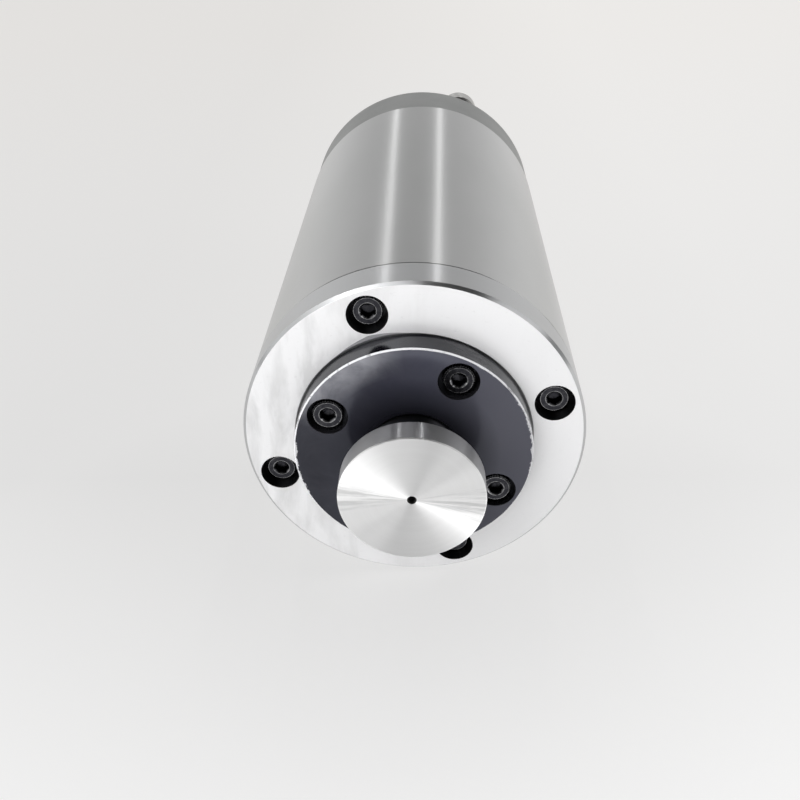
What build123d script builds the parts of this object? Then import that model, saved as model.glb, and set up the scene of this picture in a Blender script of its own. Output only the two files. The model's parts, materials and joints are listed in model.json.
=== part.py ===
from build123d import *
import os
from math import cos, radians, sin

# Round water-cooled motor spindle.  Lengths are in millimetres.
# Frame: the shaft turns about Y and its nose points to -Y.  Y = 0 is the front
# cover's flat face, the origin is the centre of that face, and +Z is up.
# The body's radius and the barrel's length are set here.  Radii are worked out
# inward from the body, and what sits at the rear follows the end of the barrel.

# --- body -----------------------------------------------------------------------
body_radius = 40.0
cover_flange = 10.3            # the visible ring of the front cover
barrel_length = 132.6
barrel_wall = 2.5
cap_length = 21.1
cap_step = 0.2                 # the cap is turned this much smaller than the barrel
cover_edge_chamfer = 0.72
seam_chamfer = 0.2             # on both edges of the seam between cover and barrel
cap_edge_chamfer = 0.6
spigot_length = 6.0            # register of the front cover inside the barrel
fit = 0.02                     # radial clearance of pieces that sit in each other
shaft_clearance = 0.5          # open gap between turning and fixed pieces

# --- M4 socket head cap screws -----------------------------------------------------
screw_radius = 2.0
screw_hole_radius = 2.25
head_radius = 3.5
head_height = 4.0
head_chamfer = 0.3
head_room = 1.15               # between a head and its counterbore
socket_across_flats = 3.0
socket_depth = 2.2
screw_count = 4
tap_margin = 1.5               # tapped depth left below a screw's tip
cover_screw_clock = 16.2
cover_screw_sink = 2.0         # head top below the face
cover_screw_length = 20.0
cap_screw_length = 30.0
gland_screw_clock = 61.35
gland_screw_sink = 0.6
gland_screw_length = 12.0

# --- front cover ---------------------------------------------------------------------
cover_rim = 1.7                # the body's outside to the cover's counterbores
screw_land = 1.6               # the cover's counterbores to the gland
housing_lip = 6.0
hub_wall = 4.5

# --- nose and gland ------------------------------------------------------------------
nose_disc_radius = 16.0
nose_disc_thickness = 6.27
nose_reach = 23.4              # nose face in front of the cover's face
nose_edge_chamfer = 0.25
centre_drill_radius = 0.85
centre_drill_depth = 2.4
centre_sink = 0.25
neck_shoulder = 1.5            # the neck stands this far above the bearing seat
gland_rim = 1.15               # the gland's outside to its own counterbores
gland_thread_wall = 2.1        # the gland's screws to the bearing
gland_stand = 6.25             # how far the gland stands out of the cover
gland_pocket_depth = 0.75      # how deep its foot sits in the cover
gland_foot_step = 0.9
gland_edge_chamfer = 0.4
pocket_edge_chamfer = 0.5      # leaves an open groove round the gland's root
gland_web = 4.25               # the gland's thickness in front of the labyrinth
labyrinth_step = 1.2

# --- bearings: two 17 x 35 x 10 in front, one 15 x 32 x 9 at the rear ------------------
front_bore_share = 17 / 35     # the front bearing's bore over its outside
front_bearing_width = 10.0
front_bearing_start = 4.0
bearing_spacer = 3.0
rear_bearing_step = 1.5        # the rear bearing's outside, smaller than the front's
rear_bore_share = 15 / 32
rear_bearing_width = 9.0
rear_bearing_recess = 2.9      # rear bearing to the end of the barrel
race_wall = 2.5
ball_gap = 0.3                 # ball cage to race
cage_side_gap = 1.5
locknut_wall = 3.5
locknut_width = 5.0
locknut_slot_count = 4
locknut_slot_width = 3.0
locknut_slot_depth = 1.5
spring_height = 1.5
spring_wall = 0.5

# --- cooling jacket ----------------------------------------------------------------------
jacket_tap_wall = 0.65         # the jacket's tapped holes to its bore
channel_depth = 3.4
channel_land = 14.0            # solid ring left at each end of the jacket
channel_count = 6
rib_width = 4.0
rib_opening = 9.0
seal_groove_width = 2.4
seal_groove_depth = 1.4
seal_groove_inset = 3.2

# --- motor -----------------------------------------------------------------------------------
stator_length = 66.0
stator_yoke = 3.5
slot_count = 24
slot_width = 2.6
slot_mouth = 1.5               # tooth tip below the slot
slot_insulation = 0.15
air_gap = 0.5
end_turn_length = 13.0
end_turn_chamfer = 2.5
end_turn_room = 1.0            # end turns to the jacket
rotor_radius = 19.5
rotor_seat_step = 0.5          # the rotor's seat below the front bearing's
rotor_bar_count = 18
rotor_bar_width = 1.6
rotor_bar_height = 4.0
rotor_bar_cover = 1.2
end_ring_length = 5.0
end_ring_height = 6.5
front_room_share = 2 / 3       # of the rotor's free length between the hubs, the part in front

# --- rear end --------------------------------------------------------------------------------
shield_thickness = 6.0
shield_lip = 2.5
shield_lip_height = 2.8
shaft_end_reach = 2.0          # shaft end behind the rear locknut
cavity_wall = 2.0              # the cap's counterbores to its cavity
cap_rear_wall = 6.0
lead_hole_radius = 4.0
lead_hole_margin = 1.0

# --- coolant ports and fittings ---------------------------------------------------------------
port_inset = 6.7               # port centre below the body's outside
port_clock = 65.5
port_count = 2
port_thread_radius = 4.0
port_thread_depth = 8.0
port_thread_gap = 1.0          # fitting's end to the bottom of the port
passage_radius = 2.2
jacket_passage_radius = 1.8
jacket_passage_wall = 1.2      # the jacket's bore to its coolant passages
washer_radius = 6.0
washer_thickness = 1.4
collar_radius = 5.5
collar_thickness = 1.1
union_nut_radius = 6.6
union_nut_length = 7.8
union_nut_lip = 1.0
union_nut_chamfer = 0.6
union_thread_radius = 4.8
tail_radius = 3.0
tail_root_step = 0.6           # collar at the tail's root, inside the nut's lip
tail_length = 10.0
tail_chamfer = 0.4
fitting_bore_radius = 1.7

# --- power connector, M16 thread -----------------------------------------------------------------
connector_thread_radius = 8.0
connector_flange_step = 1.5
connector_flange_thickness = 2.0
connector_reach = 13.0
connector_wall = 1.4
connector_inside_length = 5.0
connector_nut_wall = 1.5
connector_nut_thickness = 2.8
insert_recess = 8.0
pin_count = 4
pin_radius = 0.75
pin_pitch_radius = 3.3
pin_length = 6.0
pin_tail = 3.0

# --- radii that follow from the sizes above, from the outside in --------------------------------------
counterbore_radius = head_radius + head_room
barrel_bore_radius = body_radius - barrel_wall
spigot_radius = barrel_bore_radius - fit
cover_screw_pitch_radius = body_radius - cover_rim - counterbore_radius
gland_radius = cover_screw_pitch_radius - counterbore_radius - screw_land
gland_foot_radius = gland_radius - gland_foot_step
gland_screw_pitch_radius = gland_radius - gland_rim - counterbore_radius
front_bearing_outside = gland_screw_pitch_radius - screw_radius - gland_thread_wall
front_bearing_bore = front_bearing_outside * front_bore_share
rear_bearing_outside = front_bearing_outside - rear_bearing_step
rear_bearing_bore = rear_bearing_outside * rear_bore_share
hub_radius = front_bearing_outside + hub_wall
rear_hub_radius = rear_bearing_outside + hub_wall
neck_radius = front_bearing_bore + neck_shoulder
labyrinth_radius = front_bearing_outside - race_wall - labyrinth_step
gland_pocket_radius = labyrinth_radius + shaft_clearance
jacket_inner_radius = cover_screw_pitch_radius - screw_radius - jacket_tap_wall
channel_radius = spigot_radius - channel_depth
jacket_passage_pitch_radius = jacket_inner_radius + jacket_passage_wall + jacket_passage_radius
slot_floor_radius = jacket_inner_radius - stator_yoke
end_turn_inner_radius = hub_radius + shaft_clearance
end_turn_outer_radius = jacket_inner_radius - end_turn_room
stator_bore_radius = rotor_radius + air_gap
slot_middle = (stator_bore_radius + slot_mouth + slot_floor_radius) / 2
slot_height = slot_floor_radius - stator_bore_radius - slot_mouth
rotor_seat_radius = front_bearing_bore - rotor_seat_step
bar_pitch_radius = rotor_radius - rotor_bar_cover - rotor_bar_height / 2
end_ring_radius = rotor_radius - rotor_bar_cover / 2
lead_hole_pitch_radius = rear_hub_radius + lead_hole_margin + lead_hole_radius
cap_cavity_radius = cover_screw_pitch_radius - counterbore_radius - cavity_wall
port_pitch_radius = body_radius - port_inset
connector_flange_radius = connector_thread_radius + connector_flange_step
connector_nut_flats = 2 * (connector_thread_radius + connector_nut_wall)
insert_radius = connector_thread_radius - connector_wall

# --- places along Y that follow from the sizes above ----------------------------------------------------
nose_face = -nose_reach
nose_back = nose_face + nose_disc_thickness
gland_face = -gland_stand
labyrinth_start = gland_face + gland_web + shaft_clearance
second_bearing_start = front_bearing_start + front_bearing_width + bearing_spacer
front_pair_end = second_bearing_start + front_bearing_width
front_nut_end = front_pair_end + locknut_width
hub_end = front_pair_end + housing_lip
spigot_end = cover_flange + spigot_length
barrel_start = cover_flange
barrel_end = barrel_start + barrel_length
cap_end = barrel_end + cap_length
cavity_end = cap_end - cap_rear_wall
rear_bearing_end = barrel_end - rear_bearing_recess
shield_bearing_start = rear_bearing_end - rear_bearing_width
spring_start = shield_bearing_start - spring_height
shield_hub_start = spring_start - shield_lip
rear_nut_end = rear_bearing_end + locknut_width
shaft_end = rear_nut_end + shaft_end_reach
jacket_start = spigot_end
jacket_end = barrel_end - shield_thickness
gallery_start = jacket_start + channel_land
gallery_end = jacket_end - channel_land
seal_grooves = (
    jacket_start + seal_groove_inset,
    jacket_end - seal_groove_inset - seal_groove_width,
)
rotor_room = shield_hub_start - hub_end - stator_length - 2 * end_ring_length
stator_start = hub_end + front_room_share * rotor_room + end_ring_length
stator_end = stator_start + stator_length
washer_end = cap_end + washer_thickness
collar_end = washer_end + collar_thickness
nut_end = collar_end + union_nut_length
tail_end = nut_end + tail_length
connector_start = cavity_end - connector_inside_length
connector_end = cap_end + connector_reach
insert_face = connector_end - insert_recess
port_angles = [port_clock + 360 / port_count * n for n in range(port_count)]

os.makedirs("parts", exist_ok=True)


def station(y):
    """A plane across the axis at y; its local x is +X, its local y is +Z and it faces the nose."""
    return Plane.XZ.offset(-y)


def on_axis_at(radius, clock):
    """The long plane through a line parallel to Y; its local x is +X and its local y is +Y."""
    angle = radians(clock)
    return Plane(origin=(radius * cos(angle), 0, radius * sin(angle)), x_dir=(1, 0, 0), z_dir=(0, 0, 1))


def save(part, name):
    part.label = name
    export_step(part, f"parts/{name}.step")


def ring(inner, outer, start, end):
    """A plain turned ring about the shaft's axis."""
    with BuildPart() as turned:
        with BuildSketch(station(start)):
            Circle(outer)
            Circle(inner, mode=Mode.SUBTRACT)
        extrude(amount=start - end)
    return turned.part


def socket_screws(pitch_radius, clock, head_top, length, toward_nose):
    """Four socket head cap screws; toward_nose is 1 for shanks that point to the nose, -1 for the rear."""
    head_seat = head_top - toward_nose * head_height
    with BuildPart() as screws:
        with BuildSketch(station(head_top)):
            with PolarLocations(pitch_radius, screw_count, start_angle=clock):
                Circle(head_radius)
        extrude(amount=toward_nose * head_height)
        crowns = screws.faces().filter_by(Axis.Y).group_by(Axis.Y)[-1 if toward_nose > 0 else 0]
        chamfer(crowns.edges(), head_chamfer)
        with BuildSketch(station(head_seat)):
            with PolarLocations(pitch_radius, screw_count, start_angle=clock):
                Circle(screw_radius)
        extrude(amount=toward_nose * length)
        with BuildSketch(station(head_top)):
            with PolarLocations(pitch_radius, screw_count, start_angle=clock):
                RegularPolygon(socket_across_flats / 2, 6, major_radius=False)
        extrude(amount=toward_nose * socket_depth, mode=Mode.SUBTRACT)
    return screws.part


def bearing_locknut(bore, start):
    """A slotted round nut that clamps an inner ring."""
    with BuildPart() as nut:
        with BuildSketch(station(start)):
            Circle(bore + locknut_wall)
            Circle(bore, mode=Mode.SUBTRACT)
            with PolarLocations(bore + locknut_wall, locknut_slot_count):
                Rectangle(2 * locknut_slot_depth, locknut_slot_width, mode=Mode.SUBTRACT)
        extrude(amount=-locknut_width)
    return nut.part


def ball_cage(bore, outside, start, width):
    """The balls and cage of one bearing, as one ring between the races."""
    return ring(
        bore + race_wall + ball_gap,
        outside - race_wall - ball_gap,
        start + cage_side_gap,
        start + width - cage_side_gap,
    )


# --- front cover: flange, register, bearing hub, gland pocket -----------------------------
with BuildPart() as front_cover:
    with BuildSketch(Plane.XY):
        with BuildLine():
            Polyline(
                (gland_radius + pocket_edge_chamfer, 0),
                (gland_foot_radius + fit, pocket_edge_chamfer),
                (gland_foot_radius + fit, gland_pocket_depth),
                (front_bearing_outside, gland_pocket_depth),
                (front_bearing_outside, front_pair_end),
                (front_bearing_outside - race_wall, front_pair_end),
                (front_bearing_outside - race_wall, hub_end),
                (hub_radius, hub_end),
                (hub_radius, spigot_end),
                (spigot_radius, spigot_end),
                (spigot_radius, cover_flange),
                (body_radius, cover_flange),
                (body_radius, 0),
                close=True,
            )
        make_face()
    revolve(axis=Axis.Y)
    face_circles = front_cover.edges().filter_by(GeomType.CIRCLE).group_by(Axis.Y)[0]
    chamfer(face_circles.sort_by(SortBy.RADIUS)[-1], cover_edge_chamfer)
    flange_back = front_cover.faces().filter_by(GeomType.PLANE).filter_by_position(
        Axis.Y, cover_flange - fit, cover_flange + fit
    )
    chamfer(flange_back.edges().sort_by(SortBy.RADIUS)[-1], seam_chamfer)
    # counterbored holes for the cover screws
    with BuildSketch(station(0)):
        with PolarLocations(cover_screw_pitch_radius, screw_count, start_angle=cover_screw_clock):
            Circle(counterbore_radius)
    extrude(amount=-(cover_screw_sink + head_height), mode=Mode.SUBTRACT)
    with BuildSketch(station(0)):
        with PolarLocations(cover_screw_pitch_radius, screw_count, start_angle=cover_screw_clock):
            Circle(screw_hole_radius)
    extrude(amount=-spigot_end, mode=Mode.SUBTRACT)
    # tapped holes for the gland screws
    tapped_end = gland_face + gland_screw_sink + head_height + gland_screw_length + tap_margin
    with BuildSketch(station(0)):
        with PolarLocations(gland_screw_pitch_radius, screw_count, start_angle=gland_screw_clock):
            Circle(screw_radius + fit)
    extrude(amount=-tapped_end, mode=Mode.SUBTRACT)
save(front_cover.part, "front_cover")

cover_screws = socket_screws(
    cover_screw_pitch_radius, cover_screw_clock, cover_screw_sink, cover_screw_length, -1
)
save(cover_screws, "cover_screws")

# --- front gland: raised disc round the neck, with the labyrinth pocket behind it ----------
with BuildPart() as front_gland:
    with BuildSketch(Plane.XY):
        with BuildLine():
            Polyline(
                (neck_radius + shaft_clearance, gland_face),
                (neck_radius + shaft_clearance, labyrinth_start - shaft_clearance),
                (gland_pocket_radius, labyrinth_start - shaft_clearance),
                (gland_pocket_radius, front_bearing_start),
                (front_bearing_outside - fit, front_bearing_start),
                (front_bearing_outside - fit, gland_pocket_depth),
                (gland_foot_radius, gland_pocket_depth),
                (gland_foot_radius, 0),
                (gland_radius, 0),
                (gland_radius, gland_face),
                close=True,
            )
        make_face()
    revolve(axis=Axis.Y)
    chamfer(front_gland.faces().sort_by(Axis.Y)[0].edges(), gland_edge_chamfer)
    with BuildSketch(station(gland_face)):
        with PolarLocations(gland_screw_pitch_radius, screw_count, start_angle=gland_screw_clock):
            Circle(counterbore_radius)
    extrude(amount=-(gland_screw_sink + head_height), mode=Mode.SUBTRACT)
    with BuildSketch(station(gland_face)):
        with PolarLocations(gland_screw_pitch_radius, screw_count, start_angle=gland_screw_clock):
            Circle(screw_hole_radius)
    extrude(amount=-(gland_stand + gland_pocket_depth), mode=Mode.SUBTRACT)
save(front_gland.part, "front_gland")

gland_screws = socket_screws(
    gland_screw_pitch_radius, gland_screw_clock, gland_face + gland_screw_sink, gland_screw_length, -1
)
save(gland_screws, "gland_screws")

# --- barrel and cooling jacket ------------------------------------------------------------------
with BuildPart() as outer_barrel:
    with BuildSketch(station(barrel_start)):
        Circle(body_radius)
        Circle(barrel_bore_radius, mode=Mode.SUBTRACT)
    extrude(amount=-barrel_length)
    chamfer(outer_barrel.edges().filter_by(GeomType.CIRCLE).group_by(SortBy.RADIUS)[-1], seam_chamfer)
save(outer_barrel.part, "outer_barrel")

with BuildPart() as cooling_jacket:
    with BuildSketch(station(jacket_start)):
        Circle(spigot_radius)
        Circle(jacket_inner_radius, mode=Mode.SUBTRACT)
    extrude(amount=jacket_start - jacket_end)
    # coolant gallery, with axial ribs left standing that turn the flow at alternate ends
    with BuildSketch(station(gallery_start)):
        Circle(spigot_radius)
        Circle(channel_radius, mode=Mode.SUBTRACT)
    extrude(amount=gallery_start - gallery_end, mode=Mode.SUBTRACT)
    for rib in range(channel_count):
        opens_at_rear = rib % 3 == 1
        rib_start = gallery_start + (0 if opens_at_rear else rib_opening)
        rib_clock = port_clock + (rib + 0.5) * 360 / channel_count
        with BuildSketch(station(rib_start)):
            Circle(spigot_radius)
            Circle(channel_radius - fit, mode=Mode.SUBTRACT)
            with PolarLocations(spigot_radius, 1, start_angle=rib_clock):
                Rectangle(3 * channel_depth, rib_width, mode=Mode.INTERSECT)
        extrude(amount=-(gallery_end - gallery_start - rib_opening))
    # seal grooves
    for groove in seal_grooves:
        with BuildSketch(station(groove)):
            Circle(spigot_radius)
            Circle(spigot_radius - seal_groove_depth, mode=Mode.SUBTRACT)
        extrude(amount=-seal_groove_width, mode=Mode.SUBTRACT)
    # tapped holes at both ends and the two coolant passages from the rear
    front_tap = cover_screw_sink + head_height + cover_screw_length + tap_margin
    with BuildSketch(station(jacket_start)):
        with PolarLocations(cover_screw_pitch_radius, screw_count, start_angle=cover_screw_clock):
            Circle(screw_radius + fit)
    extrude(amount=jacket_start - front_tap, mode=Mode.SUBTRACT)
    rear_tap = cap_end - cover_screw_sink - head_height - cap_screw_length - tap_margin
    with BuildSketch(station(jacket_end)):
        with PolarLocations(cover_screw_pitch_radius, screw_count, start_angle=cover_screw_clock):
            Circle(screw_radius + fit)
    extrude(amount=jacket_end - rear_tap, mode=Mode.SUBTRACT)
    with BuildSketch(station(jacket_end)):
        with PolarLocations(jacket_passage_pitch_radius, port_count, start_angle=port_clock):
            Circle(jacket_passage_radius)
    extrude(amount=channel_land + rib_opening / 2, mode=Mode.SUBTRACT)
save(cooling_jacket.part, "cooling_jacket")

with BuildPart() as jacket_seals:
    for groove in seal_grooves:
        with BuildSketch(station(groove)):
            Circle(spigot_radius)
            Circle(spigot_radius - seal_groove_depth, mode=Mode.SUBTRACT)
        extrude(amount=-seal_groove_width)
save(jacket_seals.part, "jacket_seals")

# --- stator ---------------------------------------------------------------------------------------
with BuildPart() as stator_core:
    with BuildSketch(station(stator_start)):
        Circle(jacket_inner_radius)
        Circle(stator_bore_radius, mode=Mode.SUBTRACT)
        with PolarLocations(slot_middle, slot_count):
            Rectangle(slot_height, slot_width, mode=Mode.SUBTRACT)
    extrude(amount=-stator_length)
save(stator_core.part, "stator_core")

with BuildPart() as stator_windings:
    for start in (stator_start - end_turn_length, stator_end):
        with BuildSketch(Plane.XY) as coil_head:
            with Locations(((end_turn_inner_radius + end_turn_outer_radius) / 2, start + end_turn_length / 2)):
                Rectangle(end_turn_outer_radius - end_turn_inner_radius, end_turn_length)
            outward = coil_head.vertices().sort_by(Axis.Y, reverse=start > stator_start)[:2]
            chamfer(outward, end_turn_chamfer)
        revolve(axis=Axis.Y)
    with BuildSketch(station(stator_start)):
        with PolarLocations(slot_middle, slot_count):
            Rectangle(slot_height - 2 * slot_insulation, slot_width - 2 * slot_insulation)
    extrude(amount=-stator_length)
save(stator_windings.part, "stator_windings")

# --- bearings: fixed rings, spacers, spring ----------------------------------------------------------
with BuildPart() as front_outer_rings:
    for start in (front_bearing_start, second_bearing_start):
        add(ring(front_bearing_outside - race_wall, front_bearing_outside - fit,
                 start, start + front_bearing_width))
save(front_outer_rings.part, "front_outer_rings")
save(ring(front_bearing_outside - race_wall, front_bearing_outside - fit,
          front_bearing_start + front_bearing_width, second_bearing_start), "outer_spacer")
save(ring(rear_bearing_outside - race_wall, rear_bearing_outside - fit,
          shield_bearing_start, rear_bearing_end), "rear_outer_ring")
save(ring(rear_bearing_outside - race_wall, rear_bearing_outside - spring_wall,
          spring_start, shield_bearing_start), "preload_spring")

# --- rear bearing housing -------------------------------------------------------------------------------
with BuildPart() as rear_bearing_housing:
    with BuildSketch(Plane.XY):
        with BuildLine():
            Polyline(
                (rear_bearing_outside - shield_lip_height, shield_hub_start),
                (rear_bearing_outside - shield_lip_height, spring_start),
                (rear_bearing_outside, spring_start),
                (rear_bearing_outside, barrel_end),
                (spigot_radius, barrel_end),
                (spigot_radius, jacket_end),
                (rear_hub_radius, jacket_end),
                (rear_hub_radius, shield_hub_start),
                close=True,
            )
        make_face()
    revolve(axis=Axis.Y)
    with BuildSketch(station(barrel_end)):
        with PolarLocations(cover_screw_pitch_radius, screw_count, start_angle=cover_screw_clock):
            Circle(screw_hole_radius)
        with PolarLocations(port_pitch_radius, port_count, start_angle=port_clock):
            Circle(passage_radius)
        with PolarLocations(lead_hole_pitch_radius, 1, start_angle=port_clock + 90):
            Circle(lead_hole_radius)
    extrude(amount=shield_thickness, mode=Mode.SUBTRACT)
save(rear_bearing_housing.part, "rear_bearing_housing")

# --- rear cap -------------------------------------------------------------------------------------------------
with BuildPart() as rear_cap:
    with BuildSketch(station(barrel_end)):
        Circle(body_radius - cap_step)
    extrude(amount=-cap_length)
    chamfer(rear_cap.faces().sort_by(Axis.Y)[-1].edges(), cap_edge_chamfer)
    with BuildSketch(station(barrel_end)):
        Circle(cap_cavity_radius)
    extrude(amount=barrel_end - cavity_end, mode=Mode.SUBTRACT)
    with BuildSketch(station(cap_end)):
        with PolarLocations(cover_screw_pitch_radius, screw_count, start_angle=cover_screw_clock):
            Circle(counterbore_radius)
    extrude(amount=cover_screw_sink + head_height, mode=Mode.SUBTRACT)
    with BuildSketch(station(cap_end)):
        with PolarLocations(cover_screw_pitch_radius, screw_count, start_angle=cover_screw_clock):
            Circle(screw_hole_radius)
        with PolarLocations(port_pitch_radius, port_count, start_angle=port_clock):
            Circle(passage_radius)
        Circle(connector_thread_radius + fit)
    extrude(amount=cap_length, mode=Mode.SUBTRACT)
    with BuildSketch(station(cap_end)):
        with PolarLocations(port_pitch_radius, port_count, start_angle=port_clock):
            Circle(port_thread_radius)
    extrude(amount=port_thread_depth, mode=Mode.SUBTRACT)
save(rear_cap.part, "rear_cap")

rear_cap_screws = socket_screws(
    cover_screw_pitch_radius, cover_screw_clock, cap_end - cover_screw_sink, cap_screw_length, 1
)
save(rear_cap_screws, "rear_cap_screws")

# --- coolant fittings --------------------------------------------------------------------------------------------
with BuildPart() as fitting_washers:
    with BuildSketch(station(cap_end)):
        with PolarLocations(port_pitch_radius, port_count, start_angle=port_clock):
            Circle(washer_radius)
            Circle(port_thread_radius, mode=Mode.SUBTRACT)
    extrude(amount=-washer_thickness)
save(fitting_washers.part, "fitting_washers")

with BuildPart() as water_fittings:
    for clock in port_angles:
        with BuildSketch(on_axis_at(port_pitch_radius, clock)) as half:
            with BuildLine():
                Polyline(
                    (fitting_bore_radius, cap_end - port_thread_depth + port_thread_gap),
                    (port_thread_radius - fit, cap_end - port_thread_depth + port_thread_gap),
                    (port_thread_radius - fit, washer_end),
                    (collar_radius, washer_end),
                    (collar_radius, collar_end),
                    (union_thread_radius - fit, collar_end),
                    (union_thread_radius - fit, nut_end - union_nut_lip),
                    (tail_radius + tail_root_step - fit, nut_end - union_nut_lip),
                    (tail_radius + tail_root_step - fit, nut_end),
                    (tail_radius, nut_end),
                    (tail_radius, tail_end - tail_chamfer),
                    (tail_radius - tail_chamfer, tail_end),
                    (fitting_bore_radius, tail_end),
                    close=True,
                )
            make_face()
        revolve(axis=Axis(on_axis_at(port_pitch_radius, clock).origin, (0, 1, 0)))
save(water_fittings.part, "water_fittings")

with BuildPart() as water_fitting_nuts:
    for clock in port_angles:
        with BuildSketch(on_axis_at(port_pitch_radius, clock)) as half:
            with BuildLine():
                Polyline(
                    (union_thread_radius, collar_end),
                    (union_thread_radius, nut_end - union_nut_lip),
                    (tail_radius + tail_root_step, nut_end - union_nut_lip),
                    (tail_radius + tail_root_step, nut_end),
                    (union_nut_radius, nut_end),
                    (union_nut_radius, collar_end),
                    close=True,
                )
            make_face()
            rim = half.vertices().group_by(Axis.X)[-1]
            chamfer(rim, union_nut_chamfer)
        revolve(axis=Axis(on_axis_at(port_pitch_radius, clock).origin, (0, 1, 0)))
save(water_fitting_nuts.part, "water_fitting_nuts")

# --- power connector ------------------------------------------------------------------------------------------------
with BuildPart() as connector_shell:
    with BuildSketch(Plane.XY):
        with BuildLine():
            Polyline(
                (insert_radius, connector_start),
                (connector_thread_radius, connector_start),
                (connector_thread_radius, cap_end),
                (connector_flange_radius, cap_end),
                (connector_flange_radius, cap_end + connector_flange_thickness),
                (connector_thread_radius, cap_end + connector_flange_thickness),
                (connector_thread_radius, connector_end),
                (insert_radius, connector_end),
                close=True,
            )
        make_face()
    revolve(axis=Axis.Y)
save(connector_shell.part, "connector_shell")

with BuildPart() as connector_insert:
    with BuildSketch(station(connector_start)):
        Circle(insert_radius - fit)
        with PolarLocations(pin_pitch_radius, pin_count, start_angle=45):
            Circle(pin_radius + fit, mode=Mode.SUBTRACT)
    extrude(amount=connector_start - insert_face)
save(connector_insert.part, "connector_insert")

with BuildPart() as connector_pins:
    with BuildSketch(station(insert_face + pin_length)):
        with PolarLocations(pin_pitch_radius, pin_count, start_angle=45):
            Circle(pin_radius)
    extrude(amount=insert_face + pin_length - connector_start + pin_tail)
save(connector_pins.part, "connector_pins")

with BuildPart() as connector_nut:
    with BuildSketch(station(cavity_end)):
        RegularPolygon(connector_nut_flats / 2, 6, major_radius=False)
        Circle(connector_thread_radius + fit, mode=Mode.SUBTRACT)
    extrude(amount=connector_nut_thickness)
save(connector_nut.part, "connector_nut")

# --- shaft -----------------------------------------------------------------------------------------------------------
with BuildPart() as shaft:
    with BuildSketch(Plane.XY) as profile:
        with BuildLine():
            Polyline(
                (0, nose_face + centre_drill_depth),
                (centre_drill_radius, nose_face + centre_drill_depth),
                (centre_drill_radius, nose_face + centre_sink),
                (centre_drill_radius + centre_sink, nose_face),
                (nose_disc_radius, nose_face),
                (nose_disc_radius, nose_back),
                (neck_radius, nose_back),
                (neck_radius, labyrinth_start),
                (front_bearing_bore - fit, labyrinth_start),
                (front_bearing_bore - fit, front_nut_end),
                (rotor_seat_radius - fit, front_nut_end),
                (rotor_seat_radius - fit, shield_bearing_start),
                (rear_bearing_bore - fit, shield_bearing_start),
                (rear_bearing_bore - fit, shaft_end),
                (0, shaft_end),
                close=True,
            )
        make_face()
        chamfer(profile.vertices().group_by(Axis.X)[-1], nose_edge_chamfer)
    revolve(axis=Axis.Y)
save(shaft.part, "shaft")

save(ring(front_bearing_bore, labyrinth_radius, labyrinth_start, front_bearing_start), "labyrinth_ring")

with BuildPart() as front_inner_rings:
    for start in (front_bearing_start, second_bearing_start):
        add(ring(front_bearing_bore, front_bearing_bore + race_wall, start, start + front_bearing_width))
save(front_inner_rings.part, "front_inner_rings")
save(ring(front_bearing_bore, front_bearing_bore + race_wall,
          front_bearing_start + front_bearing_width, second_bearing_start), "inner_spacer")
save(ring(rear_bearing_bore, rear_bearing_bore + race_wall,
          shield_bearing_start, rear_bearing_end), "rear_inner_ring")
save(bearing_locknut(front_bearing_bore, front_pair_end), "front_locknut")
save(bearing_locknut(rear_bearing_bore, rear_bearing_end), "rear_locknut")

# --- rotor: lamination stack, with the cast cage of bars and end rings -----------------------------------------------
with BuildPart() as rotor_core:
    with BuildSketch(station(stator_start)):
        Circle(rotor_radius)
        Circle(rotor_seat_radius, mode=Mode.SUBTRACT)
        with PolarLocations(bar_pitch_radius, rotor_bar_count):
            Rectangle(rotor_bar_height, rotor_bar_width, mode=Mode.SUBTRACT)
    extrude(amount=-stator_length)
save(rotor_core.part, "rotor_core")

with BuildPart() as rotor_cage:
    for start in (stator_start - end_ring_length, stator_end):
        with BuildSketch(station(start)):
            Circle(end_ring_radius)
            Circle(end_ring_radius - end_ring_height, mode=Mode.SUBTRACT)
        extrude(amount=-end_ring_length)
    with BuildSketch(station(stator_start)):
        with PolarLocations(bar_pitch_radius, rotor_bar_count):
            Rectangle(rotor_bar_height, rotor_bar_width)
    extrude(amount=-stator_length)
save(rotor_cage.part, "rotor_cage")

# --- balls and cages of the bearings ---------------------------------------------------------------------------------------------------------
with BuildPart() as front_ball_cages:
    for start in (front_bearing_start, second_bearing_start):
        add(ball_cage(front_bearing_bore, front_bearing_outside, start, front_bearing_width))
save(front_ball_cages.part, "front_ball_cages")
save(ball_cage(rear_bearing_bore, rear_bearing_outside, shield_bearing_start, rear_bearing_width),
     "rear_ball_cage")
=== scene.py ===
import json
from math import atan2, cos, hypot, pi, sin, tau

import bmesh
import bpy
from mathutils import Matrix, Vector


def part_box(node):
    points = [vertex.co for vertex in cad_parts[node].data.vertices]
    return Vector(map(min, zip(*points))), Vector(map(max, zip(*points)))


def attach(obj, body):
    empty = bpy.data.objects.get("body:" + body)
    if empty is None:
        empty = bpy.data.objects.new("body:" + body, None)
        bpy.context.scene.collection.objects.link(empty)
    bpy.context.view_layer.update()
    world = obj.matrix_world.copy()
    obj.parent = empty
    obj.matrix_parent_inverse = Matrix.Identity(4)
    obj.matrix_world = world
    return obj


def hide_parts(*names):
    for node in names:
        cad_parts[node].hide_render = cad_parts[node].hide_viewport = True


# The looks of a round motor spindle. Metres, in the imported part's own frame:
# the shaft turns about Y, the nose points to -Y and +Z is up.

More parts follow.
